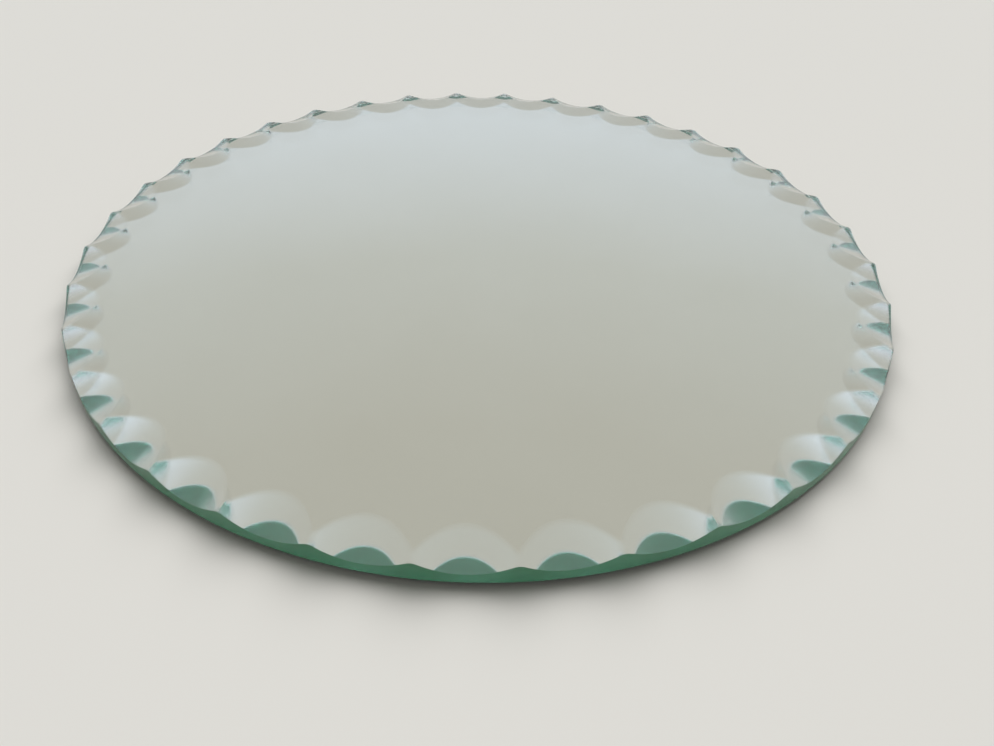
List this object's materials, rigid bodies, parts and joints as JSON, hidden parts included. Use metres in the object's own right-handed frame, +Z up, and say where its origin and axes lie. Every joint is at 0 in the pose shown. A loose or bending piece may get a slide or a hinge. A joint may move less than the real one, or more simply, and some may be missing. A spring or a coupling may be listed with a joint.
{
  "type": "round table mirror",
  "caption": "Round table mirror: a thick disc of silvered glass with a scalloped, hollow-ground rim, lying flat on felt pads as a tray for candles, bottles or a centrepiece",
  "frame": {"origin": "on the table under the middle of the disc, at the bottom of the felt pads", "axes": "+Z up out of the mirror face; the middle of one scallop lies on each of +X, +Y, -X and -Y"},
  "size_m": [0.32, 0.32, 0.0099],
  "materials": {
    "clear_glass": "polished clear glass, green at the edge",
    "silvering": "wet-laid silver film",
    "copper": "thin copper film",
    "backing_paint": "matt dark grey protective paint",
    "felt": "pressed dark felt",
    "adhesive": "acrylic adhesive film"
  },
  "bodies": {
    "root": {"mirror_glass": "clear_glass", "silver_coating": "silvering", "copper_coating": "copper", "back_paint": "backing_paint", "felt_pad_1": "felt", "felt_pad_2": "felt", "felt_pad_3": "felt", "felt_pad_4": "felt", "pad_adhesive_1": "adhesive", "pad_adhesive_2": "adhesive", "pad_adhesive_3": "adhesive", "pad_adhesive_4": "adhesive"}
  },
  "joints": []
}
